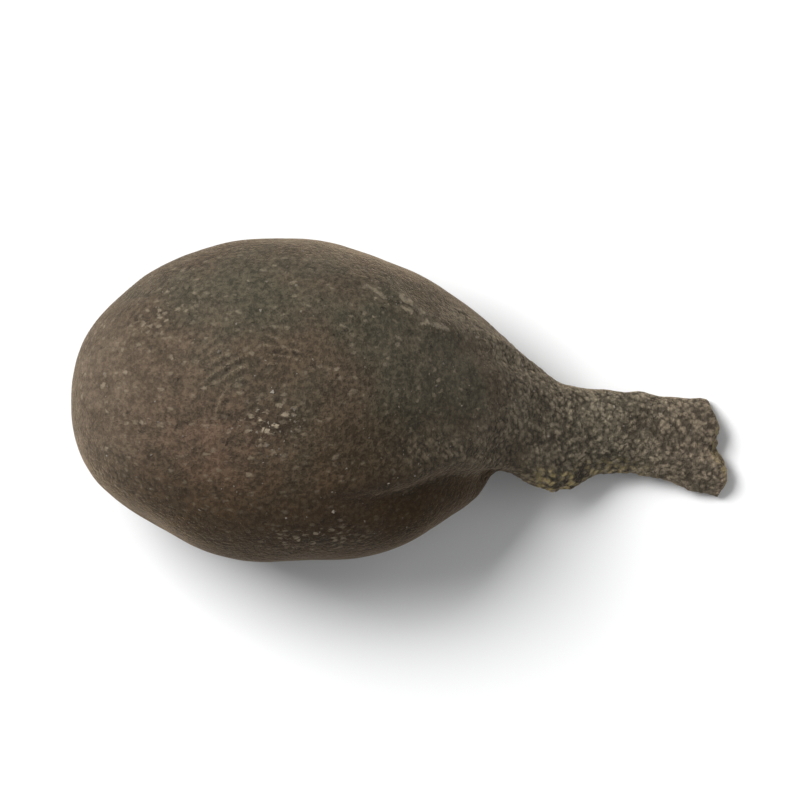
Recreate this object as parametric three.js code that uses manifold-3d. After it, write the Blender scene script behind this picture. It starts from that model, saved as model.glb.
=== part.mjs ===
// A dried air bladder of bladderwrack on the stub of frond that carried it. It grew as one piece, so it is
// one solid. Millimetres, +Z up. It lies on z = 0 on the flat spot that dried under the bladder, and the
// frond droops until its end touches too. The long axis runs along X: the blunt end of the bladder is at -X,
// the broken end of the frond at +X. "North" is +Y and "south" is -Y.

import * as THREE from "three";
import { mergeVertices } from "three/addons/utils/BufferGeometryUtils.js";
import Module from "manifold-3d";

// Driving dimensions
const bluntEndX = -15;
const widestX = -4.7;
const frondEndX = 14.2;
const bladderHalfWidth = 7.33;
const bladderHalfHeight = 6.45;
const bladderMidZ = 6.1; // less than the half height, so the skin is cut flat where it lies on the surface
const bluntPower = 2.2; // 2 is an ellipse, more is blunter

// Outlines seen from above, as [x, y], from the widest place of the bladder to the end of the frond
const northEdge = [
  [widestX, bladderHalfWidth], [-2.4, 7.02], [0.85, 5.7], [3.5, 3.98], [6.1, 1.8], [7.8, 0.68], [9.5, 0.5],
  [12.6, 0.2], [frondEndX, 0.04],
];
const southEdge = [
  [widestX, -bladderHalfWidth], [-2, -7.15], [0.6, -6.3], [2.2, -5.36], [3.5, -4.42], [4.25, -3.6],
  [5.1, -3.4], [5.5, -3.55], [6, -3.86], [7, -4.13], [7.8, -4], [8.6, -3.62], [9.4, -3.42], [10.8, -3.37],
  [12.6, -3.9], [frondEndX, -4.42],
];

// The same stretch seen from the side, as [x, z of the middle] and [x, half the thickness]
const middleHeight = [
  [widestX, bladderMidZ], [-2, 6], [0, 5.7], [2, 5.15], [4, 4.3], [6, 3.35], [8, 2.5], [10, 1.9],
  [12, 1.35], [frondEndX, 0.68],
];
const halfThickness = [
  [widestX, bladderHalfHeight], [-2.5, 6.22], [0, 5.4], [2, 4.28], [4, 2.95], [5.5, 2], [7.5, 1.16],
  [10, 0.84], [frondEndX, 0.72],
];

// The frond is a strap. Its section turns from the bladder's ellipse into a squarer one between two values of
// x. It thins to the south by a share of its thickness, and its margins droop, the south one most at hangX.
const strap = {
  from: 3.5, full: 9, squareness: 0.6, southThinning: 0.28,
  droop: 0.38, hang: 0.3, hangX: 9.8, hangReach: 2.2,
};
const marginWaves = [
  { height: 0.05, along: 2.3, across: 1, phase: 0 },
  { height: 0.03, along: 4.1, across: -1, phase: 1 },
];

// How far the broken end reaches past frondEndX, as [side, reach]: side 1 is north and -1 south
const brokenEnd = [
  [-1, 0.34], [-0.85, 0.48], [-0.65, 0.52], [-0.45, 0.38], [-0.28, 0.12], [-0.12, -0.1], [0.1, -0.08],
  [0.3, 0.12], [0.5, 0.22], [0.7, 0.08], [0.85, -0.08], [1, -0.16],
];
const endPullStart = 11.5; // the frond's cross lines start to follow the broken end here
const rim = { length: 0.28, width: 0.5, thickness: 0.3 }; // rounding of the broken end
const brokenFace = { hollow: 0.12, roughness: 0.1, bumps: 7 };

// Relief over the smooth skin. Lines are [x, degrees round the section, from north over the top]. Each stands
// out by its height or sinks by its depth, from where it rises along x to where it fades.
const northMargin = { // the frond's north margin, running on over the bladder
  line: [[-5, 30], [-0.9, 38], [2.2, 46], [4.6, 34], [7, 8], [frondEndX, 0]],
  height: 0.13, width: 0.65, rise: [-3.5, 1], fade: [4.2, 7],
};
const southMargin = { // the south margin, with a valley under it that is steep on the margin's side
  line: [
    [-5, 120], [-1.8, 121], [0.5, 122], [1.5, 120], [2.7, 123], [3.7, 136], [4.5, 156], [7, 176],
    [frondEndX, 180],
  ],
  height: 0.12, width: 0.9, rise: [-4.5, 0.5], fade: [4, 5.5],
  valley: { turn: 10, depth: 0.45, nearWidth: 0.6, farWidth: 1.5 },
};
const crease = { // a long crease under the south flank, with a lip beside it
  line: [[-13, 222], [-8, 214], [-2, 217], [4, 224], [7, 214]],
  depth: 0.72, width: 0.9, rise: [-13, -9], fade: [3, 6.5], lip: { turn: 14, height: 0.2, width: 1.1 },
};
const pleats = { count: 9, height: 0.05, centreX: 4.6, reach: 2, slant: 0.5 }; // in the neck
const lumps = [
  { height: 0.05, along: 0.55, around: 2, phase: 1.3 },
  { height: 0.04, along: 0.8, around: 3, phase: -0.7 },
  { height: 0.025, along: 1.3, around: 5, phase: 0 },
];
const dents = [ // a negative depth is a swelling
  { centre: new THREE.Vector3(-5.9, -0.6, 12.5), radius: 3.3, depth: 0.26 }, // dimple on the crown
  { centre: new THREE.Vector3(-11.3, -5.7, 6.5), radius: 2.1, depth: 0.4 }, // flat on the south-west side
  { centre: new THREE.Vector3(-12.9, 4.8, 6.2), radius: 1.7, depth: 0.16 }, // flat on the north-west side
  { centre: new THREE.Vector3(-6.9, 7.2, 6.2), radius: 2.4, depth: -0.18 }, // swelling on the north side
  { centre: new THREE.Vector3(-6.6, -7.2, 6), radius: 2.2, depth: -0.12 }, // and on the south side
];

// Mesh density
const bluntRows = 24;
const bodyRows = 50;
const rimRows = 2;
const faceRings = [0.7, 0.36]; // rings on the broken face, as shares of the rim
const columns = 62;
const mergeDistance = 1e-4;
const slopeStep = 1e-3; // how far apart, in stations and radians, the skin's slope is measured

// A smooth curve through [x, value] knots: cubic Hermite, with each slope the mean of the two beside it.
function smoothCurve(knots) {
  const last = knots.length - 1;
  const chord = knots.slice(1).map(([x, v], i) => (v - knots[i][1]) / (x - knots[i][0]));
  const slope = knots.map((_, i) => {
    if (i === 0) return 0;
    return i === last ? chord[last - 1] : (chord[i - 1] + chord[i]) / 2;
  });
  return (at) => {
    const x = THREE.MathUtils.clamp(at, knots[0][0], knots[last][0]);
    let i = 0;
    while (i < last - 1 && x > knots[i + 1][0]) i++;
    const [x0, v0] = knots[i];
    const [x1, v1] = knots[i + 1];
    const span = x1 - x0;
    const u = (x - x0) / span;
    const bend = u * (1 - u);
    const rise = u * u * (3 - 2 * u);
    return v0 + (v1 - v0) * rise + span * bend * (slope[i] * (1 - u) - slope[i + 1] * u);
  };
}

const northAt = smoothCurve(northEdge);
const southAt = smoothCurve(southEdge);
const middleAt = smoothCurve(middleHeight);
const thicknessAt = smoothCurve(halfThickness);
const reachAt = smoothCurve(brokenEnd);
const northMarginAt = smoothCurve(northMargin.line);
const southMarginAt = smoothCurve(southMargin.line);
const creaseAt = smoothCurve(crease.line);

const smoothstep = ([from, to], x) => THREE.MathUtils.smoothstep(x, from, to);
const bell = (x, width) => Math.exp(-((x / width) ** 2));
const signedPower = (value, power) => Math.sign(value) * Math.abs(value) ** power;
const total = (waves, heightOf) => waves.reduce((sum, wave) => sum + heightOf(wave), 0);

// The cross-section at a station. Stations run from 0 at the blunt pole to 1 at the widest place and 2 at the
// end of the frond; past 2 they round the broken rim. Up to 1, the size follows a superellipse.
function sectionAt(station) {
  const turn = Math.min(station, 1) * Math.PI / 2;
  const size = Math.sin(turn) ** (2 / bluntPower);
  const bluntX = widestX - (widestX - bluntEndX) * Math.max(Math.cos(turn), 0) ** (2 / bluntPower);
  const along = THREE.MathUtils.clamp(station - 1, 0, 1);
  const x = station < 1 ? bluntX : widestX + (frondEndX - widestX) * along;
  const rounding = Math.max(station - 2, 0) * Math.PI / 2;
  return {
    x,
    size,
    past: rim.length * Math.sin(rounding),
    halfWidth: size * (northAt(x) - southAt(x)) / 2 - rim.width * (1 - Math.cos(rounding)),
    midY: (northAt(x) + southAt(x)) / 2,
    halfHeight: size * thicknessAt(x) - rim.thickness * (1 - Math.cos(rounding)),
    midZ: middleAt(x),
    frond: smoothstep([strap.from, strap.full], x),
  };
}

// A point of the smooth skin: an ellipse on the bladder, and the flatter, squarer strap of the frond.
function smoothPoint(station, angle) {
  const { x, past, halfWidth, midY, halfHeight, midZ, frond } = sectionAt(station);
  const power = 2 / (2 + strap.squareness * frond);
  const side = signedPower(Math.cos(angle), power);
  const up = signedPower(Math.sin(angle), power);
  const waveOf = (w) => w.height * Math.sin(w.along * x + w.across * side + w.phase);
  const wave = frond * total(marginWaves, waveOf);
  const thin = 1 - strap.southThinning * frond * (1 - side) / 2;
  const hang = strap.hang * bell(x - strap.hangX, strap.hangReach) * Math.max(-side, 0);
  const droop = frond * (strap.droop * side * side + hang);
  const pull = smoothstep([endPullStart, frondEndX], x) * reachAt(side);
  return new THREE.Vector3(
    x + past + pull,
    midY + halfWidth * side + wave * Math.abs(side),
    midZ + halfHeight * up * thin - droop,
  );
}

// Height of the relief over the smooth skin.
function reliefAt(station, angle, point) {
  const { x, size, halfWidth, halfHeight, frond } = sectionAt(station);
  const girth = (halfWidth + halfHeight) / 2;
  const present = (feature) => smoothstep(feature.rise, x) * (1 - smoothstep(feature.fade, x));
  const awayFrom = (lineAt, turn = 0) => {
    const off = angle - THREE.MathUtils.degToRad(lineAt(x) + turn);
    return girth * Math.atan2(Math.sin(off), Math.cos(off));
  };
  const ridge = (lineAt, width, turn) => bell(awayFrom(lineAt, turn), width);
  const { valley } = southMargin;
  const { lip } = crease;
  const bladder = size * (1 - frond);
  const north = northMargin.height * ridge(northMarginAt, northMargin.width);
  const pastValley = awayFrom(southMarginAt, valley.turn);
  const south = southMargin.height * ridge(southMarginAt, southMargin.width)
    - valley.depth * bell(pastValley, pastValley < 0 ? valley.nearWidth : valley.farWidth);
  const creased = lip.height * ridge(creaseAt, lip.width, lip.turn)
    - crease.depth * ridge(creaseAt, crease.width);
  const pleated = pleats.height * bell(x - pleats.centreX, pleats.reach);
  return present(northMargin) * north + present(southMargin) * south + size * present(crease) * creased
    + pleated * Math.cos(pleats.count * angle + pleats.slant * x)
    + bladder * total(lumps, (w) => w.height * Math.sin(w.along * x + w.around * angle + w.phase))
    - total(dents, (dent) => dent.depth * bell(point.distanceTo(dent.centre), dent.radius));
}

// A point of the finished skin: the smooth point raised along its own normal, found from points close by.
function skinPoint(station, angle) {
  const point = smoothPoint(station, angle);
  const alongAngle = smoothPoint(station, angle + slopeStep).sub(smoothPoint(station, angle - slopeStep));
  const alongStation = smoothPoint(station + slopeStep, angle).sub(smoothPoint(station - slopeStep, angle));
  const normal = alongAngle.cross(alongStation).normalize();
  return point.addScaledVector(normal, reliefAt(station, angle, point));
}

// Rings of points from the blunt pole to the middle of the broken face, joined into one closed surface.
function skinGeometry() {
  const angleOf = (j) => j * 2 * Math.PI / columns;
  const ring = (station) => Array.from({ length: columns }, (_, j) => skinPoint(station, angleOf(j)));
  const rings = [];
  for (let i = 1; i < bluntRows; i++) rings.push(ring(i / bluntRows));
  for (let i = 0; i < bodyRows; i++) rings.push(ring(1 + i / bodyRows));
  for (let i = 0; i <= rimRows; i++) rings.push(ring(2 + i / rimRows));
  const edge = rings[rings.length - 1];
  const faceCentre = edge.reduce((sum, p) => sum.add(p), new THREE.Vector3()).divideScalar(columns);
  faceRings.forEach((share, k) => rings.push(edge.map((p, j) => {
    const rough = brokenFace.roughness * Math.sin(brokenFace.bumps * angleOf(j) + 2 * k);
    const sunk = brokenFace.hollow * (1 - share);
    return faceCentre.clone().lerp(p, share).add(new THREE.Vector3(rough - sunk, 0, 0));
  })));
  const points = [new THREE.Vector3(bluntEndX, 0, bladderMidZ), ...rings.flat(), faceCentre];
  const at = (i, j) => 1 + i * columns + j % columns;
  const faces = [];
  for (let j = 0; j < columns; j++) {
    faces.push(0, at(0, j + 1), at(0, j));
    for (let i = 0; i + 1 < rings.length; i++) {
      faces.push(at(i, j), at(i, j + 1), at(i + 1, j));
      faces.push(at(i, j + 1), at(i + 1, j + 1), at(i + 1, j));
    }
    faces.push(at(rings.length - 1, j), at(rings.length - 1, j + 1), points.length - 1);
  }
  const geometry = new THREE.BufferGeometry().setFromPoints(points);
  geometry.setIndex(faces);
  return geometry;
}

const wasm = await Module();
wasm.setup();

function solidFrom(geometry) {
  const bare = geometry.clone();
  bare.deleteAttribute("normal");
  bare.deleteAttribute("uv");
  const merged = mergeVertices(bare, mergeDistance);
  return new wasm.Manifold(new wasm.Mesh({
    numProp: 3,
    vertProperties: merged.attributes.position.array,
    triVerts: new Uint32Array(merged.index.array),
  }));
}

function geometryFrom(solid) {
  const { numProp, numVert, vertProperties, triVerts } = solid.getMesh();
  const positions = new Float32Array(numVert * 3);
  for (let i = 0; i < numVert; i++) {
    positions.set(vertProperties.subarray(i * numProp, i * numProp + 3), i * 3);
  }
  const geometry = new THREE.BufferGeometry();
  geometry.setAttribute("position", new THREE.BufferAttribute(positions, 3));
  geometry.setIndex(new THREE.BufferAttribute(triVerts, 1));
  geometry.computeVertexNormals();
  return geometry;
}

// Everything under z = 0 is cut away, which leaves the flat spot and a small foot under the frond's end.
const cutter = { width: 60, depth: 10 };
const belowSurface = new THREE.BoxGeometry(cutter.width, cutter.width, cutter.depth);
belowSurface.translate(0, 0, -cutter.depth / 2);
const lyingSolid = solidFrom(skinGeometry()).subtract(solidFrom(belowSurface));

const driedSkin = new THREE.MeshStandardMaterial({
  color: new THREE.Color(0.095, 0.075, 0.056),
  roughness: 0.85,
  metalness: 0,
});
const bladder = new THREE.Mesh(geometryFrom(lyingSolid), driedSkin);
bladder.name = "bladder_with_frond_stub";

const bladderwrack = new THREE.Group();
bladderwrack.add(bladder);

export default bladderwrack;
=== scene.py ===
import bpy
import numpy as np
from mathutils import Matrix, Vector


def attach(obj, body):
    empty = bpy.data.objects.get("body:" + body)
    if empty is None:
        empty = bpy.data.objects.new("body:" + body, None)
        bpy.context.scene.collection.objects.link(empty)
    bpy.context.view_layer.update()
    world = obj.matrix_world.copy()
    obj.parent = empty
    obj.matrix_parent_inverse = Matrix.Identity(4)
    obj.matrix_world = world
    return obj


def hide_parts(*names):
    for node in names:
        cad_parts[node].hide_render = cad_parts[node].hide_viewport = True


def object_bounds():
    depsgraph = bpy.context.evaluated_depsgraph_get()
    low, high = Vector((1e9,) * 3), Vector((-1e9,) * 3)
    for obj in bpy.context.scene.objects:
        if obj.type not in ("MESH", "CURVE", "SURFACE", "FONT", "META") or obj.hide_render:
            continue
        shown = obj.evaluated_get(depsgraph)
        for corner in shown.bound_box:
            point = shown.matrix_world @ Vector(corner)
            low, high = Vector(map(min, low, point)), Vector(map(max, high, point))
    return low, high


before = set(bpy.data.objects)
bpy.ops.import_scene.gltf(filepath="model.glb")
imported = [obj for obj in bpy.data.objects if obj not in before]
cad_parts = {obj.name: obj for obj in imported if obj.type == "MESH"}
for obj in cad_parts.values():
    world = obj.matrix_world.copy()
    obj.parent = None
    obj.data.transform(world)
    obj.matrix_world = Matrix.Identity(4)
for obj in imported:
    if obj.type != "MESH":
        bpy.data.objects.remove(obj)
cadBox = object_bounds()
print("frame loaded, the piece is %.1f mm long" % ((cadBox[1].x - cadBox[0].x) * 1000))

# Shapes are worked out in millimetres, in the frame's axes: the bladder's blunt end at -X, the frond's broken
# end at +X, north +Y, south -Y. They are turned to metres when they go into a mesh.
metresPerMm = 0.001


# Camera, lights and floor

studio = dict(
    seenLength=36.5,  # how many millimetres the picture is wide
    lens=600.0,  # long, so that the camera is well away and near and far parts keep one scale
    clipStart=0.01,
    keyFrom=(-0.28, 0.21, 0.42),  # metres from the piece, to the upper left as in the photo
    keySize=0.28,
    keyWatts=4.05,
    fillFrom=(0.35, 0.1, 0.5),
    fillSize=0.4,
    fillWatts=0.4,
    skyColour=(0.97, 0.985, 1, 1),
    skyStrength=0.3,
    floorSize=1.2,
    floorDrop=0.00002,  # keeps the floor's face just under the piece's flat spot
    floorColour=(0.86, 0.86, 0.86, 1),
    floorRoughness=0.9,
)


def addCamera():
    # Looks straight down. Its distance is the seen width times lens over sensor width.
    data = bpy.data.cameras.new("viewCamera")
    data.lens = studio["lens"]
    data.clip_start = studio["clipStart"]
    camera = bpy.data.objects.new("viewCamera", data)
    middle = (cadBox[0] + cadBox[1]) / 2
    away = studio["seenLength"] * metresPerMm * data.lens / data.sensor_width
    camera.location = (middle.x, middle.y, middle.z + away)
    bpy.context.scene.collection.objects.link(camera)
    bpy.context.scene.camera = camera


def addSoftLight(name, place, size, watts):
    # A square lamp that faces the piece.
    data = bpy.data.lights.new(name, "AREA")
    data.shape = "SQUARE"
    data.size = size
    data.energy = watts
    lamp = bpy.data.objects.new(name, data)
    lamp.location = place
    lamp.rotation_euler = lamp.location.to_track_quat("Z", "Y").to_euler()
    bpy.context.scene.collection.objects.link(lamp)


def addSky():
    # An even, slightly blue light from all round.
    world = bpy.data.worlds.new("paleSky")
    world.use_nodes = True
    sky = world.node_tree.nodes["Background"]
    sky.inputs["Color"].default_value = studio["skyColour"]
    sky.inputs["Strength"].default_value = studio["skyStrength"]
    bpy.context.scene.world = world


addCamera()
addSoftLight("keyLight", studio["keyFrom"], studio["keySize"], studio["keyWatts"])
addSoftLight("fillLight", studio["fillFrom"], studio["fillSize"], studio["fillWatts"])
addSky()
bpy.context.scene.view_settings.view_transform = "Standard"
print("camera and lights placed")


# Maths on arrays

def smoothstep(span, value):
    # 0 below the span, 1 above it, 3t^2 - 2t^3 between.
    t = np.clip((value - span[0]) / (span[1] - span[0]), 0, 1)
    return t * t * (3 - 2 * t)


def bell(value, width):
    # exp(-(value / width)^2)
    return np.exp(-(value / width) ** 2)


def signedPower(value, power):
    # sign(value) * |value|^power
    return np.sign(value) * np.abs(value) ** power


def smoothCurve(knots):
    # A smooth curve through (x, value) knots: cubic Hermite, with each slope the mean of the two beside it.
    xs, values = np.array(knots, float).T
    chord = np.diff(values) / np.diff(xs)
    slope = np.concatenate(([0], (chord[1:] + chord[:-1]) / 2, chord[-1:]))

    def curve(at):
        x = np.clip(at, xs[0], xs[-1])
        i = np.clip(np.searchsorted(xs, x) - 1, 0, len(xs) - 2)
        span = xs[i + 1] - xs[i]
        u = (x - xs[i]) / span
        rise = u * u * (3 - 2 * u)
        bend = u * (1 - u) * (slope[i] * (1 - u) - slope[i + 1] * u)
        return values[i] + (values[i + 1] - values[i]) * rise + span * bend

    return curve


mixing = dict(factors=(73856093, 19349663, 83492791), seedFactor=40503, lastFactor=1274126177)


def cornerValue(corner, seed):
    # A number from -1 to 1 for each corner of a cubic grid. Its three whole numbers and a seed are each
    # multiplied by a large number and joined by exclusive or, and the result is mixed once more and cut to 16
    # bits.
    mixed = seed * mixing["seedFactor"]
    for axis, factor in enumerate(mixing["factors"]):
        mixed = mixed ^ corner[..., axis] * factor
    mixed = (mixed ^ (mixed >> 13)) & 0x7FFFFFFF
    mixed = (mixed * mixing["lastFactor"]) >> 11
    return (mixed & 0xFFFF) / 32767.5 - 1


def noise(points, cell, seed):
    # Value noise, from -1 to 1: the corner values of a grid of that cell size, smoothly blended.
    grid = points / cell
    low = np.floor(grid).astype(np.int64)
    part = grid - low
    part = part * part * (3 - 2 * part)
    total = 0
    for corner in np.ndindex(2, 2, 2):
        share = np.where(corner, part, 1 - part).prod(axis=-1)
        total = total + share * cornerValue(low + corner, seed)
    return total


def layeredNoise(points, cell, seed, layers):
    # Noise at a cell size plus half as much at half the size, and so on.
    return sum(noise(points + 3.7 * k, cell / 2 ** k, seed + k) / 2 ** k for k in range(layers))


def pebbleField(points, cell, seed):
    # One round grain is scattered in each cell of a cubic grid. From 0 between the grains to as much as 1 on
    # top of one: a smoothstep of the distance to the nearest, times that grain's own size.
    grid = points / cell
    low = np.floor(grid).astype(np.int64)
    nearest = np.full(points.shape[:-1], 9.0)
    size = np.zeros(points.shape[:-1])
    for step in np.ndindex(3, 3, 3):
        corner = low + step - 1
        scattered = np.stack([cornerValue(corner, seed + k) for k in range(3)], axis=-1) / 2 + 0.5
        distance = np.linalg.norm(grid - corner - scattered, axis=-1)
        size = np.where(distance < nearest, 0.7 + 0.3 * cornerValue(corner, seed + 3), size)
        nearest = np.minimum(nearest, distance)
    return size * (1 - smoothstep((0.15, 0.8), nearest))


def nearLine(x, y, corners, width):
    # A bell of the distance from (x, y) to a line through corners.
    nearest = np.inf
    for (x0, y0), (x1, y1) in zip(corners, corners[1:]):
        length = (x1 - x0) ** 2 + (y1 - y0) ** 2
        t = np.clip(((x - x0) * (x1 - x0) + (y - y0) * (y1 - y0)) / length, 0, 1)
        nearest = np.minimum(nearest, np.hypot(x - x0 - t * (x1 - x0), y - y0 - t * (y1 - y0)))
    return bell(nearest, width)


def softOvals(x, y, ovals):
    # A sum over the ovals (share, centre x, centre y, radius x, radius y): the share times a bell of the
    # distance along x and one of the distance along y.
    return sum(share * bell(x - cx, rx) * bell(y - cy, ry) for share, cx, cy, rx, ry in ovals)


# The skin: bladder, neck and frond, one closed surface over the whole piece. These are the solid's own
# dimensions.

skin = dict(
    bluntEndX=-15.0,
    widestX=-4.7,
    frondEndX=14.2,
    halfWidth=7.33,
    halfHeight=6.45,
    midZ=6.1,
    bluntPower=2.2,  # 2 is an ellipse, more is blunter
    northEdge=[(-2.4, 7.02), (0.85, 5.7), (3.5, 3.98), (6.1, 1.8), (7.8, 0.68), (9.5, 0.5), (12.6, 0.2),
               (14.2, 0.04)],
    southEdge=[(-2, -7.15), (0.6, -6.3), (2.2, -5.36), (3.5, -4.42), (4.25, -3.6), (5.1, -3.4), (5.5, -3.55),
               (6, -3.86), (7, -4.13), (7.8, -4), (8.6, -3.62), (9.4, -3.42), (10.8, -3.37), (12.6, -3.9),
               (14.2, -4.42)],
    middle=[(-2, 6), (0, 5.7), (2, 5.15), (4, 4.3), (6, 3.35), (8, 2.5), (10, 1.9), (12, 1.35),
            (14.2, 0.68)],
    thickness=[(-2.5, 6.22), (0, 5.4), (2, 4.28), (4, 2.95), (5.5, 2), (7.5, 1.16), (10, 0.84),
               (14.2, 0.72)],
    bluntRows=92,
    bodyRows=110,
    neckX=4.0,  # the rows lie closer together past here
    frondRows=165,
    rimRows=6,
    faceRings=8,
    columns=256,
    tornRows=4,  # how many of the last rows show the torn flesh's colour
)
strap = dict(  # the frond, a flat strap between squarer and thinner than the bladder's ellipse
    span=(3.5, 9),
    squareness=0.6,
    southThinning=0.28,
    droop=0.38,
    hang=0.3,
    hangX=9.8,
    hangReach=2.2,
    waves=[
        dict(height=0.05, along=2.3, across=1, phase=0),
        dict(height=0.03, along=4.1, across=-1, phase=1),
    ],
)
brokenEnd = dict(
    reach=[(-1, 0.34), (-0.85, 0.48), (-0.65, 0.52), (-0.45, 0.38), (-0.28, 0.12), (-0.12, -0.1),
           (0.1, -0.08), (0.3, 0.12), (0.5, 0.22), (0.7, 0.08), (0.85, -0.08), (1, -0.16)],
    pullStart=11.5,
    rimLength=0.28,
    rimWidth=0.5,
    rimThickness=0.3,
    hollow=0.22,
    roughness=0.16,
    roughSize=0.4,
    roughRise=(0, 0.3),
    seed=83,
)
northMargin = dict(  # the frond's north margin, running on over the bladder; lines are (x, degrees)
    line=[(-5, 30), (-0.9, 38), (2.2, 46), (4.6, 34), (7, 8), (14.2, 0)],
    height=0.13, width=0.65, rise=(-3.5, 1), fade=(4.2, 7),
)
southMargin = dict(  # the south margin, with a valley under it that is steep on the margin's side
    line=[(-5, 120), (-1.8, 121), (0.5, 122), (1.5, 120), (2.7, 123), (3.7, 136), (4.5, 156), (7, 176),
          (14.2, 180)],
    height=0.12, width=0.9, rise=(-4.5, 0.5), fade=(4, 5.5),
    valleyTurn=10, valleyDepth=0.45, nearWidth=0.6, farWidth=1.5,
)
crease = dict(  # a long crease under the south flank, with a lip beside it
    line=[(-13, 222), (-8, 214), (-2, 217), (4, 224), (7, 214)],
    depth=0.72, width=0.9, rise=(-13, -9), fade=(3, 6.5), lipTurn=14, lipHeight=0.2, lipWidth=1.1,
)
pleats = dict(count=9, height=0.05, centreX=4.6, reach=2, slant=0.5)
lumps = [
    dict(height=0.05, along=0.55, around=2, phase=1.3),
    dict(height=0.04, along=0.8, around=3, phase=-0.7),
    dict(height=0.025, along=1.3, around=5, phase=0),
]
dents = [  # a negative depth is a swelling
    dict(centre=(-5.9, -0.6, 12.5), radius=3.3, depth=0.26),  # dimple on the crown
    dict(centre=(-11.3, -5.7, 6.5), radius=2.1, depth=0.4),  # flat on the south-west side
    dict(centre=(-12.9, 4.8, 6.2), radius=1.7, depth=0.16),  # flat on the north-west side
    dict(centre=(-6.9, 7.2, 6.2), radius=2.4, depth=-0.18),  # swelling on the north side
    dict(centre=(-6.6, -7.2, 6), radius=2.2, depth=-0.12),  # and on the south side
]

northAt = smoothCurve([(skin["widestX"], skin["halfWidth"])] + skin["northEdge"])
southAt = smoothCurve([(skin["widestX"], -skin["halfWidth"])] + skin["southEdge"])
middleAt = smoothCurve([(skin["widestX"], skin["midZ"])] + skin["middle"])
thicknessAt = smoothCurve([(skin["widestX"], skin["halfHeight"])] + skin["thickness"])
reachAt = smoothCurve(brokenEnd["reach"])
northMarginAt = smoothCurve(northMargin["line"])
southMarginAt = smoothCurve(southMargin["line"])
creaseAt = smoothCurve(crease["line"])


def sectionAt(station):
    # Stations run from 0 at the blunt pole to 1 at the widest place and 2 at the frond's end, and past 2 they
    # round the broken rim. Up to 1 the size follows a superellipse, sin^(2/n), and x follows cos^(2/n).
    turn = np.minimum(station, 1) * np.pi / 2
    size = np.sin(turn) ** (2 / skin["bluntPower"])
    back = np.maximum(np.cos(turn), 0) ** (2 / skin["bluntPower"])
    bluntX = skin["widestX"] - (skin["widestX"] - skin["bluntEndX"]) * back
    bodyX = skin["widestX"] + (skin["frondEndX"] - skin["widestX"]) * np.clip(station - 1, 0, 1)
    x = np.where(station < 1, bluntX, bodyX)
    rounding = np.maximum(station - 2, 0) * np.pi / 2
    return dict(
        x=x,
        size=size,
        past=brokenEnd["rimLength"] * np.sin(rounding),
        halfWidth=size * (northAt(x) - southAt(x)) / 2 - brokenEnd["rimWidth"] * (1 - np.cos(rounding)),
        midY=(northAt(x) + southAt(x)) / 2,
        halfHeight=size * thicknessAt(x) - brokenEnd["rimThickness"] * (1 - np.cos(rounding)),
        midZ=middleAt(x),
        frond=smoothstep(strap["span"], x),
    )


def acrossAt(station, angle):
    # (side, up): side goes from 1 on the north margin to -1 on the south one, up from 1 on top to -1 below.
    # They are powers of the cosine and sine, squarer on the frond.
    power = 2 / (2 + strap["squareness"] * sectionAt(station)["frond"])
    return signedPower(np.cos(angle), power), signedPower(np.sin(angle), power)


def smoothPoint(station, angle):
    # Sections are ellipses on the bladder and flatter, squarer straps on the frond, where they thin to the
    # south, droop at both margins and wave. The last few are pulled along X to the broken end's outline.
    s = sectionAt(station)
    side, up = acrossAt(station, angle)
    frond = s["frond"]
    waves = sum(
        w["height"] * np.sin(w["along"] * s["x"] + w["across"] * side + w["phase"]) for w in strap["waves"]
    )
    thin = 1 - strap["southThinning"] * frond * (1 - side) / 2
    hang = strap["hang"] * bell(s["x"] - strap["hangX"], strap["hangReach"]) * np.maximum(-side, 0)
    droop = frond * (strap["droop"] * side * side + hang)
    pull = smoothstep((brokenEnd["pullStart"], skin["frondEndX"]), s["x"]) * reachAt(side)
    return np.stack([
        s["x"] + s["past"] + pull,
        s["midY"] + s["halfWidth"] * side + frond * waves * np.abs(side),
        s["midZ"] + s["halfHeight"] * up * thin - droop,
    ], axis=-1)


def awayFrom(lineAt, station, angle, turn=0):
    # Distance round the section, in millimetres, from a line given in degrees. Positive past the line.
    s = sectionAt(station)
    off = angle - np.radians(lineAt(s["x"]) + turn)
    return (s["halfWidth"] + s["halfHeight"]) / 2 * np.arctan2(np.sin(off), np.cos(off))


def present(feature, x):
    # How much of a feature there is at x: it rises over one span and fades over another.
    return smoothstep(feature["rise"], x) * (1 - smoothstep(feature["fade"], x))


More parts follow.
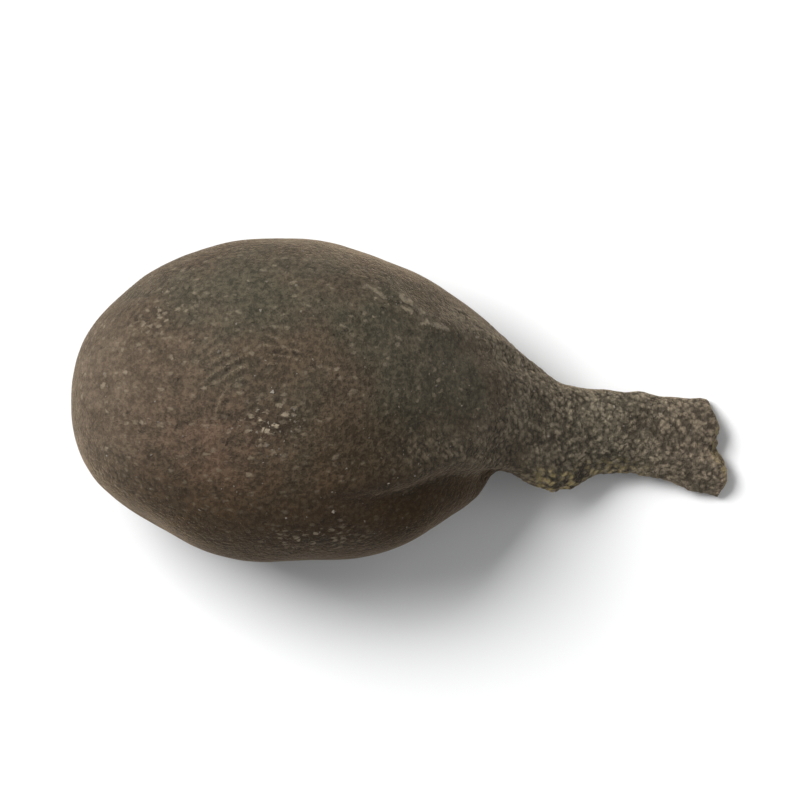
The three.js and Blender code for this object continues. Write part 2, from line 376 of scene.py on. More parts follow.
def mainRelief(station, angle, point):
    # The solid's relief: margins, valley, crease, lip, pleats in the neck, slow lumps, dents and swellings. A
    # ridge is its height times a bell of the distance from its line, a lump is a sine along x and round the
    # section, and a dent is its depth times a bell of the distance from its centre.
    s = sectionAt(station)
    x = s["x"]

    def ridge(lineAt, width, turn=0):
        return bell(awayFrom(lineAt, station, angle, turn), width)

    north = northMargin["height"] * ridge(northMarginAt, northMargin["width"])
    pastValley = awayFrom(southMarginAt, station, angle, southMargin["valleyTurn"])
    valleyWidth = np.where(pastValley < 0, southMargin["nearWidth"], southMargin["farWidth"])
    south = southMargin["height"] * ridge(southMarginAt, southMargin["width"])
    south = south - southMargin["valleyDepth"] * bell(pastValley, valleyWidth)
    lip = crease["lipHeight"] * ridge(creaseAt, crease["lipWidth"], crease["lipTurn"])
    creased = lip - crease["depth"] * ridge(creaseAt, crease["width"])
    height = present(northMargin, x) * north + present(southMargin, x) * south
    height = height + s["size"] * present(crease, x) * creased
    pleated = pleats["height"] * bell(x - pleats["centreX"], pleats["reach"])
    height = height + pleated * np.cos(pleats["count"] * angle + pleats["slant"] * x)
    for w in lumps:
        wave = np.sin(w["along"] * x + w["around"] * angle + w["phase"])
        height = height + s["size"] * (1 - s["frond"]) * w["height"] * wave
    for d in dents:
        height = height - d["depth"] * bell(np.linalg.norm(point - d["centre"], axis=-1), d["radius"])
    return height


fine = dict(  # fine relief that only this skin has; heights and sizes in millimetres
    ripple=0.03,
    rippleSize=1.7,
    pebble=0.06,
    pebbleSize=0.23,
    pebbleDrift=0.11,
    pebbleFloor=0.4,  # a pebble field below this lies under the smooth skin
    lumpSize=0.34,
    lumpDrift=0.12,
    driftSize=0.3,
    strands=0.03,
    strandSize=0.5,
    strandStretch=0.2,
    ragged=0.13,
    raggedSize=0.5,
    crust=0.05,
    crustSize=0.34,
    bulge=0.12,
    veinWidth=0.3,
    veins=[
        [(-1.6, 5.3), (-0.8, 4.8), (-0.2, 4.5), (0.5, 4)],
        [(0.1, 4.8), (0.65, 4.3), (1.1, 3.95)],
        [(1.1, 3.5), (1.6, 3.45), (2.2, 3.2)],
    ],
    speckledWidth=0.6,
    speckledMargin=[(2.4, 4.4), (3.4, 3.8), (4.8, 2.7), (6.4, 1.3), (7.6, 0.3)],
)
neckFolds = dict(  # faint folds that fan out of the neck
    height=0.005, count=26, slant=0.8, centreX=4.6, reach=2.2, waver=3.5, waverSize=1.6, patchSize=1.3,
)
tornMargin = dict(  # where the frond's south margin is ragged
    lobeX=6.9, lobeReach=1.2, tailShare=0.45, tailX=(7.5, 9.5),
)
yellowing = dict(  # yellow grains on that margin, as (share, x, reach)
    stains=[(1.3, 7.1, 1.2), (0.5, 9.8, 1.3)], side=(0.5, 0.85), lumps=(0.2, 0.65),
)
growthRings = dict(  # faint rings round the dimple, all but in its middle; most are to its north
    centre=(-6.1, -0.6, 12.4), perMm=2.1, gap=(1.2, 2.2), shift=(-0.3, 1.2), reach=3.4,
)
paintedShade = dict(  # painted shade under the south margin's valley, and somewhat less painted shade on the south side
    rise=(-5, 0.5), fade=(4.4, 5.2), near=(-0.4, 0.3), far=(5, 8), southSide=(1.5, 6.3), southShare=0.85,
)
spans = dict(  # where a thing starts and where it is full; those whose names end in X are in millimetres
    above=(0, 0.5),
    coarseX=(2.4, 5.6),
    southRim=(0.78, 0.95),
    northRim=(0.8, 0.97),
    endRimHighlightX=(13.95, 14.2),
    foldPatches=(-0.4, 0.6),
    veinBreaks=(-0.6, 0.1),
    crustPatches=(-0.1, 0.5),
    poleCalm=(0, 0.08),
)
seeds = dict(
    ripple=11, foldWaver=31, foldPatches=37, pebbles=41, strands=43, lumps=47, ragged=53, veinBreaks=59,
    crustPatches=61, crust=67, drift=(71, 73, 79),
)
dusty = dict(veins=0.2, northRim=0.5, southRim=0.4, endRimHighlight=0.8, speckled=0.35)  # shares of dust; the end rim's share is a painted highlight along the broken end's rim
regions = dict(  # where the finish changes, seen from above: (share, centre x, centre y, radius x, radius y)
    crust=[(1, -5.8, -1.05, 1.35, 0.95), (0.5, -10.6, 3.9, 1.5, 1.1), (0.7, -4, -6.3, 2.2, 0.6)],
    pale=[(0.82, -14.4, 0.6, 1.9, 5.4), (0.3, -10.5, 1, 3, 5), (0.25, -3.6, 6.3, 2.4, 0.9),
          (0.55, 13.2, -2, 1.8, 3), (0.24, 1.2, 2.2, 2.6, 2.3), (0.22, 5.3, -2.2, 1.6, 1)],
    green=[(0.8, 1.2, 1.4, 3, 2.9), (0.5, -6.5, 4.6, 5.4, 2.4), (0.3, -7, 0.6, 2, 1.6),
           (0.4, -4.4, 6.2, 2.4, 0.8)],
    warm=[(0.85, -8.9, -1.9, 3, 2.1), (0.65, -5.5, -5.2, 6, 1.6), (0.3, -9.4, 2, 2, 1.4)],
    # the shade ovals are painted shade, blended towards umber
    shade=[(0.5, -1.2, -2, 4.2, 2), (0.12, -5.6, 1.6, 3.2, 1.9)],
    grainy=[(1, 1.8, -2.3, 2.8, 1)],
    smooth=[(0.9, 3.4, 0.6, 1.5, 1.1), (0.6, 5.4, -2.3, 0.5, 0.9)],
    lobe=[(1, 13.85, -3.55, 0.55, 0.55)],
)


def foldsAt(x, angle, point):
    # A cosine round the section that wavers with noise, under a bell along x, in patches.
    f = neckFolds
    waver = f["waver"] * noise(point, f["waverSize"], seeds["foldWaver"])
    fan = np.cos(f["count"] * angle + waver + f["slant"] * x)
    patches = smoothstep(spans["foldPatches"], noise(point, f["patchSize"], seeds["foldPatches"]))
    return f["height"] * bell(x - f["centreX"], f["reach"]) * fan * patches


def ringsAt(x, y):
    # 1 where the rings show: outside a gap round their centre, and fading from a place beside it.
    g = growthRings
    dx, dy = x - g["centre"][0], y - g["centre"][1]
    fromShifted = np.hypot(dx - g["shift"][0], dy - g["shift"][1])
    return smoothstep(g["gap"], np.hypot(dx, dy)) * bell(fromShifted, g["reach"])


def shadeAt(station, angle, x, y, frond, above):
    # 1 where the painted shade is darkest: under the fold, and less on the south side and in the shade ovals.
    u = paintedShade
    pastFold = awayFrom(southMarginAt, station, angle, southMargin["valleyTurn"])
    folded = present(u, x) * smoothstep(u["near"], pastFold) * (1 - smoothstep(u["far"], pastFold))
    southSide = u["southShare"] * smoothstep(u["southSide"], -y) * (1 - frond)
    return np.maximum(folded, southSide + softOvals(x, y, regions["shade"]) * above)


def fineRelief(station, angle, point):
    # Returns the height of the fine relief and the masks that the finish reads. There are leathery ripples,
    # folds that fan out of the neck, grains and lengthwise strands on the frond, crust along the veins and
    # margins, and a ragged south margin.
    s = sectionAt(station)
    side, up = acrossAt(station, angle)
    x = s["x"] + np.zeros_like(side)
    y = point[..., 1]
    frond = s["frond"] + np.zeros_like(side)
    above = smoothstep(spans["above"], up)
    southRim = frond * smoothstep(spans["southRim"], -side)
    northRim = frond * smoothstep(spans["northRim"], side)
    # the broken end's rim, where a highlight is painted through the dust and pale masks
    endRimHighlight = smoothstep(spans["endRimHighlightX"], x)

    def region(name):
        return softOvals(x, y, regions[name])

    drift = np.stack([noise(point, fine["driftSize"], seed) for seed in seeds["drift"]], axis=-1)
    pebbles = pebbleField(point + fine["pebbleDrift"] * drift, fine["pebbleSize"], seeds["pebbles"])
    speckled = nearLine(x, y, fine["speckledMargin"], fine["speckledWidth"]) * above
    grainy = region("grainy") * above + 0.8 * speckled
    coarse = np.clip(smoothstep(spans["coarseX"], x) + grainy, 0, 1) * (1 - region("smooth"))
    pebbled = fine["pebble"] * coarse * (1 - 0.75 * northRim) * (pebbles - fine["pebbleFloor"])
    ripple = fine["ripple"] * layeredNoise(point, fine["rippleSize"], seeds["ripple"], 3)
    lengthwise = point * (fine["strandStretch"], 1, 1)
    strands = fine["strands"] * frond * noise(lengthwise, fine["strandSize"], seeds["strands"])

    lobe = bell(x - tornMargin["lobeX"], tornMargin["lobeReach"])
    tornX = np.maximum(lobe, tornMargin["tailShare"] * smoothstep(tornMargin["tailX"], x))
    ragged = fine["ragged"] * southRim * tornX * layeredNoise(point, fine["raggedSize"], seeds["ragged"], 2)

    breaks = smoothstep(spans["veinBreaks"], layeredNoise(point, 0.5, seeds["veinBreaks"], 2))
    veins = sum(nearLine(x, y, line, fine["veinWidth"]) for line in fine["veins"]) * above * breaks
    patchy = smoothstep(spans["crustPatches"], layeredNoise(point, 0.6, seeds["crustPatches"], 2))
    patches = region("crust") * above
    crustShare = np.clip(0.6 * veins + (patches + 0.45 * speckled) * patchy, 0, 1)
    crust = fine["crust"] * crustShare * (0.5 + layeredNoise(point, fine["crustSize"], seeds["crust"], 2))
    bulge = fine["bulge"] * region("lobe") * above
    height = ripple + foldsAt(x, angle, point) + pebbled + strands + ragged + crust + bulge

    stainX = sum(share * bell(x - centre, reach) for share, centre, reach in yellowing["stains"])
    stain = np.clip(frond * smoothstep(yellowing["side"], -side) * stainX, 0, 1)
    lumpField = pebbleField(point + fine["lumpDrift"] * drift, fine["lumpSize"], seeds["lumps"])
    places = dict(veins=veins, northRim=northRim, southRim=southRim, endRimHighlight=endRimHighlight, speckled=speckled)
    masks = dict(
        # dust on the veins, margins and speckled margin, plus a painted highlight on the broken end's rim
        dustAndRimHighlight=sum(dusty[name] * values for name, values in places.items()),
        crust=patches + 0.3 * speckled,
        # the pale regions, plus the painted highlight on the broken end's rim
        pale=region("pale") + 0.6 * endRimHighlight,
        green=region("green") * above + 0.3 * frond,
        warm=region("warm") * above,
        # shade: painted shade under the fold, on the south side and in the shade ovals
        shade=shadeAt(station, angle, x, y, frond, above),
        veins=veins,
        stain=stain,
        ochre=stain * smoothstep(yellowing["lumps"], lumpField),
        coarse=coarse,
        pebbles=pebbles,
        rings=ringsAt(x, y) * above,
    )
    return height, {name: np.clip(values, 0, 1) for name, values in masks.items()}


def finishedSkin(station, angle):
    # The smooth point, raised along its normal by both reliefs. The normal is the cross product of the
    # slopes along the angle and the station.
    near = 1e-3  # how far apart, in stations and radians, the slopes are measured
    point = smoothPoint(station, angle)
    alongAngle = smoothPoint(station, angle + near) - smoothPoint(station, angle - near)
    alongStation = smoothPoint(station + near, angle) - smoothPoint(station - near, angle)
    normal = np.cross(alongAngle, alongStation)
    normal /= np.linalg.norm(normal, axis=-1, keepdims=True)
    height, masks = fineRelief(station, angle, point)
    height = height * smoothstep(spans["poleCalm"], sectionAt(station)["size"])
    raised = point + normal * (mainRelief(station, angle, point) + height)[..., None]
    return raised, masks


def brokenFace(edge):
    # Rings from the broken rim to its middle: each is the rim drawn in to a share of its size and pushed
    # along X by rough noise, so the face is torn and a little hollow.
    count = skin["faceRings"]
    centre = edge.mean(axis=0)
    share = (1 - np.arange(1, count) / count)[:, None, None]
    rings = centre + (edge - centre) * share
    inward = 1 - share[..., 0]
    rough = brokenEnd["roughness"] * layeredNoise(rings, brokenEnd["roughSize"], brokenEnd["seed"], 2)
    rings[..., 0] += rough * smoothstep(brokenEnd["roughRise"], inward)
    rings[..., 0] -= brokenEnd["hollow"] * inward
    return rings


def closedGridFaces(rows, columns):
    # Quads between neighbouring rings, and a fan to a pole at each end. The poles are the first and last
    # points.
    row = np.arange(rows - 1)[:, None]
    column = np.arange(columns)[None, :]
    following = (column + 1) % columns
    here = 1 + row * columns + column
    beside = 1 + row * columns + following
    quads = np.stack([here, beside, beside + columns, here + columns], axis=-1).reshape(-1, 4)
    startPole = np.zeros(columns, int)
    endPole = startPole + 1 + rows * columns
    startFan = np.stack([startPole, beside[0], here[0]], axis=-1)
    endFan = np.stack([here[-1] + columns, beside[-1] + columns, endPole], axis=-1)
    return quads, np.concatenate([startFan, endFan])


def meshFrom(name, points, quads, triangles):
    # Puts points in millimetres and faces into a new smooth mesh object at the origin.
    mesh = bpy.data.meshes.new(name)
    corners = np.concatenate([quads.ravel(), triangles.ravel()]).astype(np.int32)
    sizes = np.concatenate([np.full(len(quads), 4), np.full(len(triangles), 3)]).astype(np.int32)
    mesh.vertices.add(len(points))
    mesh.vertices.foreach_set("co", (points * metresPerMm).astype(np.float32).ravel())
    mesh.loops.add(len(corners))
    mesh.loops.foreach_set("vertex_index", corners)
    mesh.polygons.add(len(sizes))
    mesh.polygons.foreach_set("loop_start", np.concatenate([[0], np.cumsum(sizes)[:-1]]).astype(np.int32))
    mesh.polygons.foreach_set("use_smooth", np.ones(len(sizes), bool))
    mesh.update(calc_edges=True)
    mesh.validate()
    piece = bpy.data.objects.new(name, mesh)
    bpy.context.scene.collection.objects.link(piece)
    return piece


def addMask(piece, name, values):
    layer = piece.data.attributes.new(name, "FLOAT", "POINT")
    layer.data.foreach_set("value", values.astype(np.float32).ravel())


def buildSkin():
    # Returns the piece, and the grid of its outside with one row for each station.
    neck = 1 + (skin["neckX"] - skin["widestX"]) / (skin["frondEndX"] - skin["widestX"])
    station = np.concatenate([
        np.arange(1, skin["bluntRows"]) / skin["bluntRows"],
        np.linspace(1, neck, skin["bodyRows"], endpoint=False),
        np.linspace(neck, 2, skin["frondRows"], endpoint=False),
        2 + np.arange(skin["rimRows"] + 1) / skin["rimRows"],
    ])[:, None]
    angle = (np.arange(skin["columns"]) * 2 * np.pi / skin["columns"])[None, :]
    outside, masks = finishedSkin(station, angle)
    outside[..., 2] = np.maximum(outside[..., 2], 0)  # it lies on its flat spot
    face = brokenFace(outside[-1])
    face[..., 2] = np.maximum(face[..., 2], 0)
    rings = np.concatenate([outside, face])
    startPole = outside[0].mean(axis=0)[None]
    endPole = face[-1].mean(axis=0)[None]
    points = np.concatenate([startPole, rings.reshape(-1, 3), endPole])
    quads, triangles = closedGridFaces(len(rings), skin["columns"])
    piece = meshFrom("driedBladder", points, quads, triangles)
    torn = np.zeros(outside.shape[:2])
    torn[-skin["tornRows"]:] = 1
    for name, values in {**masks, "torn": torn}.items():
        inner = np.repeat(values[-1:], len(face), axis=0)
        poles = values[0].mean(), values[-1].mean()
        addMask(piece, name, np.concatenate([poles[:1], values.ravel(), inner.ravel(), poles[1:]]))
    return piece, outside, masks


# Shader maths

class Wire:  # one output of a recipe's node; + - and * on it add Math nodes
    def __init__(self, recipe, socket):
        self.recipe = recipe
        self.socket = socket

    def __add__(self, other):
        return self.recipe.maths("ADD", self, other)

    def __radd__(self, other):
        return self.recipe.maths("ADD", other, self)

    def __sub__(self, other):
        return self.recipe.maths("SUBTRACT", self, other)

    def __rsub__(self, other):
        return self.recipe.maths("SUBTRACT", other, self)

    def __mul__(self, other):
        return self.recipe.maths("MULTIPLY", self, other)

    def __rmul__(self, other):
        return self.recipe.maths("MULTIPLY", other, self)


class Recipe:  # the node tree of one material
    def __init__(self, name):
        self.material = bpy.data.materials.new(name)
        self.material.use_nodes = True
        self.tree = self.material.node_tree
        self.tree.nodes.clear()

    def node(self, kind, settings=None, sockets=None, output=0):
        # Adds a node, with its settings first and then the values or links of its sockets.
        made = self.tree.nodes.new("ShaderNode" + kind)
        for key, value in (settings or {}).items():
            setattr(made, key, value)
        for key, value in (sockets or {}).items():
            if isinstance(value, Wire):
                self.tree.links.new(value.socket, made.inputs[key])
            else:
                made.inputs[key].default_value = value
        return Wire(self, made.outputs[output]) if made.outputs else self.material

    def maths(self, operation, first, second=0):
        return self.node("Math", {"operation": operation}, {0: first, 1: second})

    def vectors(self, operation, first, second=(0, 0, 0), output="Vector"):
        return self.node("VectorMath", {"operation": operation}, {0: first, 1: second}, output)

    def scaled(self, vector, factor):
        return self.node("VectorMath", {"operation": "SCALE"}, {0: vector, "Scale": factor})

    def mask(self, name):
        return self.node("Attribute", {"attribute_name": name}, output="Fac")

    def placeInMm(self):
        return self.scaled(self.node("TexCoord", output="Object"), 1 / metresPerMm)

    def noise(self, place, perMm, detail=2, roughness=0.5):
        sockets = {"Vector": place, "Scale": perMm, "Detail": detail, "Roughness": roughness}
        return self.node("TexNoise", None, sockets)

    def rise(self, value, start, end):
        # 0 at the start and 1 at the end, smoothly, also where the end is the smaller of the two.
        sockets = {"Value": value, "From Min": start, "From Max": end}
        return self.node("MapRange", {"interpolation_type": "SMOOTHSTEP"}, sockets)

    def blend(self, share, first, second):
        # first * (1 - share) + second * share
        return self.node("Mix", {"data_type": "RGBA"}, {0: share, 6: first, 7: second}, output=2)

    def shaded(self, colour, value):
        # The colour times a number.
        grey = self.node("CombineXYZ", None, {0: value, 1: value, 2: value})
        return self.vectors("MULTIPLY", colour, grey)

    def wavered(self, place, reach, perMm):
        # The place moved by up to half the reach each way, so that round marks come out irregular.
        sockets = {"Vector": place, "Scale": perMm, "Detail": 2.0}
        drift = self.node("TexNoise", None, sockets, output="Color")
        centred = self.vectors("SUBTRACT", drift, (0.5, 0.5, 0.5))
        return self.vectors("ADD", place, self.scaled(centred, reach))

    def awayFromLines(self, place, lines):
        # The distance to the nearest of the lines through corners, seen from above. For each stretch it is
        # the length of v - t * along, where v goes from its start to the place, along from its start to its
        # end, and t = v . along / |along|^2, kept between 0 and 1.
        nearest = None
        flat = self.vectors("MULTIPLY", place, (1, 1, 0))
        for line in lines:
            for (x0, y0), (x1, y1) in zip(line, line[1:]):
                squared = (x1 - x0) ** 2 + (y1 - y0) ** 2
                share = ((x1 - x0) / squared, (y1 - y0) / squared, 0)
                v = self.vectors("SUBTRACT", flat, (x0, y0, 0))
                t = self.node("Clamp", None, {0: self.vectors("DOT_PRODUCT", v, share, "Value")})
                off = self.vectors("SUBTRACT", v, self.scaled((x1 - x0, y1 - y0, 0), t))
                away = self.vectors("LENGTH", off, output="Value")
                nearest = away if nearest is None else self.maths("MINIMUM", nearest, away)
        return nearest

    def scattered(self, place, mark, ragged=0, likelier=0):
        # Marks round scattered points. Each is 1 at its point and steps down smoothly over the distance, to
        # which a ragged value is added. It is there if its own number from 0 to 1, plus a value that makes
        # marks likelier, is high enough.
        sockets = {"Vector": place, "Scale": mark["perMm"]}
        away = self.node("TexVoronoi", None, sockets, output="Distance")
        tint = self.node("TexVoronoi", None, sockets, output="Color")
        luck = self.node("SeparateXYZ", None, {0: tint})
        return self.rise(away + ragged, *mark["edge"]) * self.rise(luck + likelier, *mark["luck"])

    def finish(self, sockets):
        surface = self.node("BsdfPrincipled", None, sockets)
        return self.node("OutputMaterial", None, {"Surface": surface})


finish = dict(
    brown=(0.057, 0.041, 0.0265, 1),
    greyGreen=(0.051, 0.0445, 0.0295, 1),
    warmBrown=(0.084, 0.05, 0.033, 1),
    paleBrown=(0.125, 0.093, 0.066, 1),
    frondGrey=(0.1, 0.0845, 0.06, 1),
    # the colour of the painted shade under the fold, on the south side and in the shade ovals
    paintedShadeUmber=(0.027, 0.0145, 0.004, 1),
    # dust colour, also used for the painted highlight on the broken end's rim
    dustAndRimHighlight=(0.23, 0.19, 0.135, 1),
    ochre=(0.52, 0.41, 0.19, 1),
    speck=(0.34, 0.28, 0.2, 1),
    roughness=0.72,
    specular=0.12,
    sheen=0.36,
    sheenRoughness=0.24,
    sheenTint=(1, 0.76, 0.5, 1),
)
noisePerMm = dict(mottle=0.33, blotch=1.0, grain=4.5, microGrain=13, veinWaver=1.6, markWaver=4.0)
darkening = dict(pits=0.4, crust=0.35, stain=0.45)  # how much darker each makes the skin, as a share
lightening = dict(base=0.94, patch=0.25, grain=0.5, microGrain=0.4, rings=0.26, pebbles=1.2)
levelling = dict(grain=0.42, pebbles=0.38)  # keeps the mean tone under the grain and the pebbles
cover = dict(crustLumps=0.85, torn=0.3, faintSpecks=0.3, brightSpecks=0.42, rings=0.17)
bumpHeight = dict(  # in millimetres
    grain=0.022, coarseGrain=0.02, microGrain=0.012, rings=0.012, pits=0.015, faintSpecks=0.012,
    brightSpecks=0.02, crustLumps=0.03,
)
marks = dict(  # scattered marks: how many to a millimetre, over which distance they end, and which ones show
    pits=dict(perMm=2.4, edge=(0.36, 0.1), luck=(0.35, 0.7)),
    crustLumps=dict(perMm=3.2, edge=(0.45, 0.2), luck=(0.15, 0.5)),
    faintSpecks=dict(perMm=2.6, edge=(0.48, 0.14), luck=(0.35, 0.8)),
    brightSpecks=dict(perMm=1.4, edge=(0.27, 0.1), luck=(0.66, 0.8)),
)


def ringWave(r, place):
    # The sine of the distance from the dimple in an ellipsoid's measure, with slow noise added to it so that
    # the rings waver. They show in patches of a noise.
    fromCentre = r.vectors("SUBTRACT", place, growthRings["centre"])
    squeezed = r.vectors("MULTIPLY", fromCentre, (1, 1.15, 0.6))
    radius = r.vectors("LENGTH", squeezed, output="Value")
    turns = 2 * np.pi * growthRings["perMm"] * radius + 9 * r.noise(place, 0.45, 1)
    return r.maths("SINE", turns) * r.mask("rings") * r.rise(r.noise(place, 0.8), 0.4, 0.58)


def driedSkinMaterial():
    # Brown to grey-green leather: slow mottling and the region masks choose the tone, and umber paints shade
    # under the fold, on the south side and in the shade ovals. Fine grain, dark pits and the frond's pebbles
    # shade it, faint rings lie round the dimple, dust, crust and veins lighten it, a highlight is painted
    # along the broken end's rim, and pale specks lie all over.
    r = Recipe("driedSkin")
    place = r.placeInMm()
    coarse = r.mask("coarse")
    dustAndRimHighlight = r.mask("dustAndRimHighlight")
    pale = r.mask("pale")
    shade = r.mask("shade")
    crust = r.mask("crust")
    mottle = r.noise(place, noisePerMm["mottle"], 3, 0.6)
    blotch = r.noise(place, noisePerMm["blotch"], 4, 0.65)
    patch = r.rise(blotch, 0.38, 0.62)
    grain = r.rise(r.noise(place, noisePerMm["grain"], 3, 0.6), 0.38, 0.64)
    microGrain = r.rise(r.noise(place, noisePerMm["microGrain"], 2, 0.6), 0.3, 0.7)

    # the tone of each region
    greenish = r.rise(mottle + 0.6 * r.mask("green"), 0.5, 0.9)
    colour = r.blend(greenish, finish["brown"], finish["greyGreen"])
    colour = r.blend((0.25 + 0.75 * patch) * r.mask("warm"), colour, finish["warmBrown"])
    colour = r.blend(coarse * (0.6 + 0.4 * patch), colour, finish["frondGrey"])
    # pale brown, which on the broken end's rim is a painted highlight
    colour = r.blend((0.55 + 0.3 * patch) * pale, colour, finish["paleBrown"])
    # painted shade: umber blended in by the shade mask
    colour = r.blend(shade * (0.85 + 0.15 * patch), colour, finish["paintedShadeUmber"])

    # grain, pits, rings and pebbles
    rings = ringWave(r, place)
    lengthened = r.vectors("MULTIPLY", place, (0.75, 1.1, 1.1))
    spread = r.wavered(lengthened, 0.35, noisePerMm["markWaver"])
    pits = r.scattered(spread, marks["pits"])
    grains = lightening["grain"] * grain + lightening["microGrain"] * microGrain
    speckle = grains - darkening["pits"] * pits - levelling["grain"]
    uneven = 1 - 0.45 * pale - 0.3 * shade
    slow = lightening["patch"] * patch + lightening["rings"] * rings
    colour = r.shaded(colour, lightening["base"] + speckle * uneven + slow)
    pebbled = lightening["pebbles"] * r.rise(r.mask("pebbles"), 0.1, 0.75) - levelling["pebbles"]
    colour = r.shaded(colour, 1 + coarse * pebbled)

    # crust, dust, veins and the yellow grains
    lumps = r.scattered(spread, marks["crustLumps"])
    colour = r.shaded(colour, 1 - darkening["crust"] * crust)
    colour = r.blend(lumps * crust * cover["crustLumps"], colour, finish["speck"])
    # the dust film, which on the broken end's rim is a painted highlight
    film = r.rise(grain + 0.6 * blotch, 0.5, 1.3) * (0.06 + 0.5 * dustAndRimHighlight)
    colour = r.blend(film, colour, finish["dustAndRimHighlight"])
    veinAway = r.awayFromLines(r.wavered(place, 0.4, noisePerMm["veinWaver"]), fine["veins"])
    veinLine = r.rise(veinAway + 0.09 * grain, 0.17, 0.06) * (0.6 + 0.4 * microGrain)
    colour = r.blend(r.mask("veins") * veinLine, colour, finish["dustAndRimHighlight"])
    colour = r.shaded(colour, 1 - darkening["stain"] * r.mask("stain"))
    colour = r.blend(r.mask("ochre") * (0.5 + 0.5 * grain), colour, finish["ochre"])
    torn = r.mask("torn") * r.rise(blotch + 0.3 * grain, 0.4, 0.8)
    colour = r.blend(torn * cover["torn"], colour, finish["ochre"])

    # pale specks, fewer in the painted shade and more on the frond, in the dust and on the painted rim
    # highlight
    lit = 1 - 0.6 * shade
    faint = r.scattered(spread, marks["faintSpecks"], 0.16 * grain, 0.2 * coarse + 0.3 * dustAndRimHighlight)
    bright = r.scattered(spread, marks["brightSpecks"], 0.12 * grain, 0.1 * coarse + 0.15 * dustAndRimHighlight)
    ringSpecks = r.rise(rings, 0.3, 0.8) * r.rise(microGrain, 0.25, 0.75)
    colour = r.blend(faint * lit * cover["faintSpecks"], colour, finish["speck"])
    colour = r.blend(bright * lit * cover["brightSpecks"], colour, finish["speck"])
    colour = r.blend(ringSpecks * cover["rings"], colour, finish["speck"])

    h = bumpHeight
    height = grain * (h["grain"] + h["coarseGrain"] * coarse) + microGrain * h["microGrain"]
    height = height + rings * h["rings"] - pits * h["pits"]
    height = height + faint * h["faintSpecks"] + bright * h["brightSpecks"] + lumps * crust * h["crustLumps"]
    bump = r.node("Bump", None, {"Strength": 1.0, "Distance": metresPerMm, "Height": height})
    return r.finish({
        "Base Color": colour,
        "Roughness": finish["roughness"] + 0.12 * grain + 0.1 * dustAndRimHighlight,
        "Normal": bump,
        "Specular IOR Level": finish["specular"],
        "Sheen Weight": finish["sheen"],
        "Sheen Roughness": finish["sheenRoughness"],
        "Sheen Tint": finish["sheenTint"],
    })


bladder, skinGrid, skinMasks = buildSkin()
bladder.data.materials.append(driedSkinMaterial())
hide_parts("bladder_with_frond_stub")
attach(bladder, "root")
print("skin built, %d faces" % len(bladder.data.polygons))


# Salt and dust: loose crystals that cling to the skin

salt = dict(
    scattered=320,
    veinGrains=60,
    clusterGrains=24,
    scatteredHalf=(0.03, 0.08),  # smallest and largest half size in millimetres
    veinHalf=(0.028, 0.055),
    clusterHalf=(0.05, 0.11),
    fleckHalf=(0.08, 0.12),
    sunk=0.65,  # share of the crystal that sits in the skin
    stretch=(0.5, 1.6),
    barest=0.14,  # how dusty the barest skin counts as
    coarseShare=0.45,
    facingUp=(0.15, 0.7),
    flecks=[(-8.3, 2.3), (-4.0, 1.9), (-8.8, -1.2), (-6.35, 4.2), (-1.6, 1.6), (1.7, 0.7), (3.5, 2.9),
            (4.3, 2.3), (5.57, 1.64), (-3.1, -4.9), (-7.4, 3.5), (-6.35, 3.45), (-4.9, 5.25), (-5.8, 0.5),
            (-0.1, -0.2), (-5.05, -1.2), (-5.9, -0.9), (-6.5, -0.4)],
    veinSpread=0.05,
    clusterSpread=0.55,
    seed=5,
    colour=(0.142, 0.117, 0.089),
    shading=(0.2, 1.4),  # the colour is times the first, plus the second times a noise
    shadesPerMm=1.5,
    roughness=0.55,
)


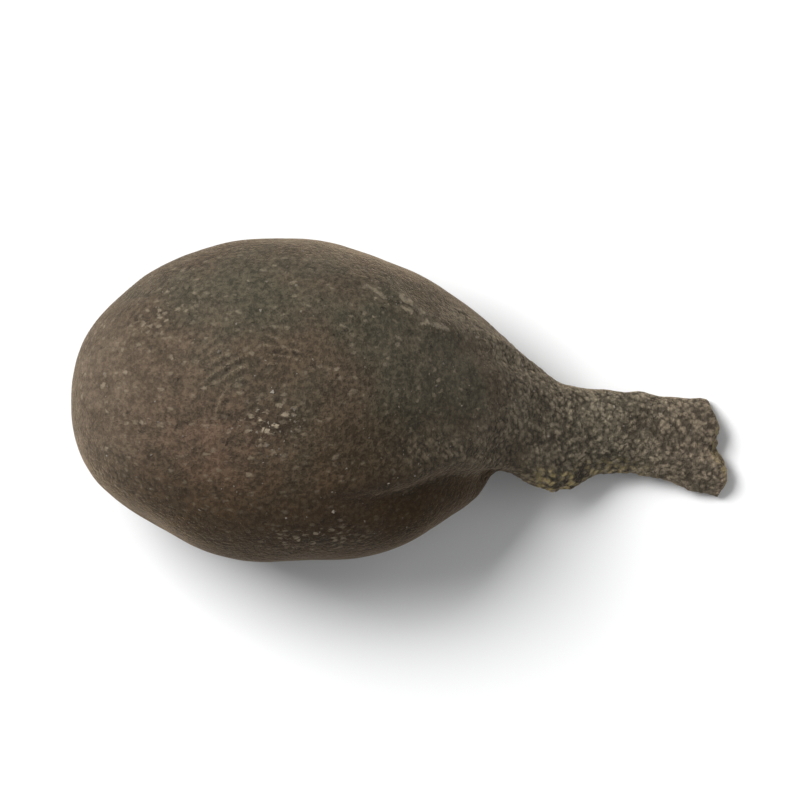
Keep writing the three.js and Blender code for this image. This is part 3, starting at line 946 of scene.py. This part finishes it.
def buildSalt():
    # Eight-sided crystals, stretched and turned at random. Scattered ones sit in cells of the skin's grid,
    # drawn with a chance of the cell's area times how dusty it is, on the upper side only. Those along the
    # veins, those in the cluster on the crown and the larger flecks sit in the cells nearest to their places,
    # seen from above.
    rng = np.random.default_rng(salt["seed"])
    corner = skinGrid[:-1]
    alongStation = skinGrid[1:] - corner
    alongAngle = np.roll(skinGrid, -1, axis=1)[:-1] - corner
    normal = np.cross(alongAngle, alongStation)
    area = np.linalg.norm(normal, axis=-1)
    normal = normal / np.maximum(area, 1e-9)[..., None]
    dustiness = salt["barest"] + skinMasks["dustAndRimHighlight"][:-1] + salt["coarseShare"] * skinMasks["coarse"][:-1]
    chance = area * dustiness * smoothstep(salt["facingUp"], normal[..., 2])
    scattered = rng.choice(chance.size, salt["scattered"], p=chance.ravel() / chance.sum())
    lines = [np.array(line) for line in fine["veins"]]
    starts = np.concatenate([line[:-1] for line in lines])
    steps = np.concatenate([line[1:] - line[:-1] for line in lines])
    segment = rng.integers(len(starts), size=salt["veinGrains"])
    onVeins = starts[segment] + steps[segment] * rng.random((salt["veinGrains"], 1))
    onVeins = onVeins + rng.normal(0, salt["veinSpread"], onVeins.shape)
    cluster = np.array(regions["crust"][0][1:])
    inCluster = cluster[:2] + cluster[2:] * rng.normal(0, salt["clusterSpread"], (salt["clusterGrains"], 2))
    chosen = np.concatenate([onVeins, inCluster, salt["flecks"]])[:, None, :]
    away = np.linalg.norm(corner[..., :2].reshape(1, -1, 2) - chosen, axis=-1)
    facesDown = normal[..., 2].ravel() < 0
    placed = np.argmin(np.where(facesDown, np.inf, away), axis=1)
    cell = np.concatenate([scattered, placed])
    count = len(cell)
    groups = [salt["scattered"], salt["veinGrains"], salt["clusterGrains"], len(salt["flecks"])]
    halves = [salt["scatteredHalf"], salt["veinHalf"], salt["clusterHalf"], salt["fleckHalf"]]
    smallest, largest = np.repeat(halves, groups, axis=0).T
    half = (smallest + (largest - smallest) * rng.random(count) ** 2)[:, None]

    def at(values):
        return values.reshape(-1, 3)[cell]

    u, v = rng.random((2, count, 1))
    centre = at(corner) + u * at(alongStation) + v * at(alongAngle)
    centre = centre + (1 - 2 * salt["sunk"]) * half * at(normal)
    tips = np.array([(1, 0, 0), (0, 1, 0), (0, 0, 1), (-1, 0, 0), (0, -1, 0), (0, 0, -1)], float)
    upperFaces = [(0, 1, 2), (1, 3, 2), (3, 4, 2), (4, 0, 2)]
    lowerFaces = [(1, 0, 5), (3, 1, 5), (4, 3, 5), (0, 4, 5)]
    faces = np.array(upperFaces + lowerFaces)
    shape = tips * rng.uniform(*salt["stretch"], (count, 1, 3)) * half[:, None]
    turn, _ = np.linalg.qr(rng.normal(size=(count, 3, 3)))
    turn *= np.sign(np.linalg.det(turn))[:, None, None]  # turns only, no mirroring
    points = centre[:, None] + shape @ turn
    triangles = faces + len(tips) * np.arange(count)[:, None, None]
    piece = meshFrom("saltCrystals", points.reshape(-1, 3), np.empty((0, 4), int), triangles.reshape(-1, 3))
    piece.data.polygons.foreach_set("use_smooth", np.zeros(len(piece.data.polygons), bool))
    return piece


def saltMaterial():
    # Bone-coloured grains, some darker than others: the colour times a noise.
    r = Recipe("saltGrain")
    tint = r.noise(r.placeInMm(), salt["shadesPerMm"], 2, 0.6)
    darkest, change = salt["shading"]
    colour = r.shaded(salt["colour"], darkest + change * tint)
    return r.finish({"Base Color": colour, "Roughness": salt["roughness"]})


crystals = buildSalt()
crystals.data.materials.append(saltMaterial())
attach(crystals, "root")
print("salt built, %d faces" % len(crystals.data.polygons))


def addFloor():
    # A square sheet under the piece.
    half = studio["floorSize"] / 2
    drop = -studio["floorDrop"]
    corners = [(-half, -half, drop), (half, -half, drop), (half, half, drop), (-half, half, drop)]
    mesh = bpy.data.meshes.new("paleFloor")
    mesh.from_pydata(corners, [], [(0, 1, 2, 3)])
    floor = bpy.data.objects.new("paleFloor", mesh)
    bpy.context.scene.collection.objects.link(floor)
    paper = {"Base Color": studio["floorColour"], "Roughness": studio["floorRoughness"]}
    mesh.materials.append(Recipe("palePaper").finish(paper))


addFloor()
